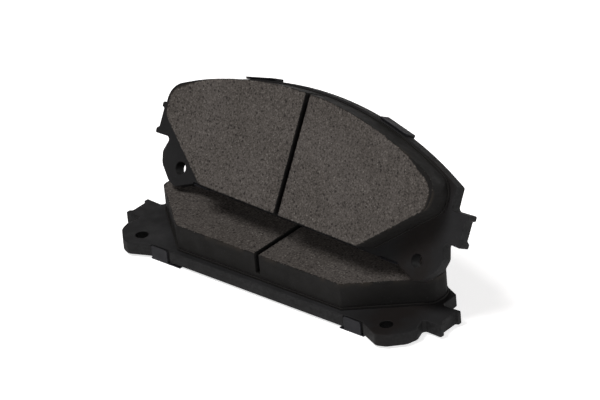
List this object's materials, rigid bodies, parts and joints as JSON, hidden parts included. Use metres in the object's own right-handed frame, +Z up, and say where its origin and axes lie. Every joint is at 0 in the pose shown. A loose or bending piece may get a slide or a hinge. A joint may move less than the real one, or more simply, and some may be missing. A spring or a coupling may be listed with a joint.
{
  "type": "disc brake pad pair",
  "caption": "Disc brake pads for one caliper: slotted friction blocks on steel plates with clip-on shims, one pad lying flat and one leaning over it.",
  "frame": {"origin": "back face of the lower pad's cover shim, which lies on the table, midway between and in line with the lower ear holes", "axes": "+X along the pad's length, +Y from the ear holes towards the top arc of the lower pad, +Z up, out of the lower friction face"},
  "size_m": [0.1598, 0.0539, 0.0716],
  "materials": {
    "backing_plate": "satin black powder coat, fine orange peel",
    "friction": "dry matt moulded compound, fine light and dark specks",
    "underlayer": "matt moulded binder",
    "shim_core": "satin dark coated sheet steel",
    "shim_rubber": "matt rubber film",
    "cover_shim": "satin dark coated sheet steel, slightly shinier than the plate"
  },
  "bodies": {
    "lower_cover": {"lower_cover_shim": "cover_shim"},
    "lower_damper": {"lower_damper_back_rubber": "shim_rubber", "lower_damper_shim": "shim_core", "lower_damper_front_rubber": "shim_rubber"},
    "lower_pad": {"lower_backing_plate": "backing_plate", "lower_underlayer": "underlayer", "lower_friction_block": "friction"},
    "upper_cover": {"upper_cover_shim": "cover_shim"},
    "upper_damper": {"upper_damper_back_rubber": "shim_rubber", "upper_damper_shim": "shim_core", "upper_damper_front_rubber": "shim_rubber"},
    "upper_pad": {"upper_backing_plate": "backing_plate", "upper_underlayer": "underlayer", "upper_friction_block": "friction"}
  },
  "joints": [
    {"name": "lower_damper_clip", "type": "slide", "parent": "lower_cover", "child": "lower_damper", "axis": [0, 0, 1], "range_m": [0, 0.008]},
    {"name": "lower_pad_clip", "type": "slide", "parent": "lower_damper", "child": "lower_pad", "axis": [0, 0, 1], "range_m": [0, 0.008]},
    {"name": "upper_pad_lift", "type": "slide", "parent": "lower_pad", "child": "upper_cover", "axis": [0, 0, 1], "range_m": [0, 0.08]},
    {"name": "upper_damper_clip", "type": "slide", "parent": "upper_cover", "child": "upper_damper", "axis": [-0.0412, -0.8736, 0.4848], "range_m": [0, 0.008]},
    {"name": "upper_pad_clip", "type": "slide", "parent": "upper_damper", "child": "upper_pad", "axis": [-0.0412, -0.8736, 0.4848], "range_m": [0, 0.008]}
  ]
}
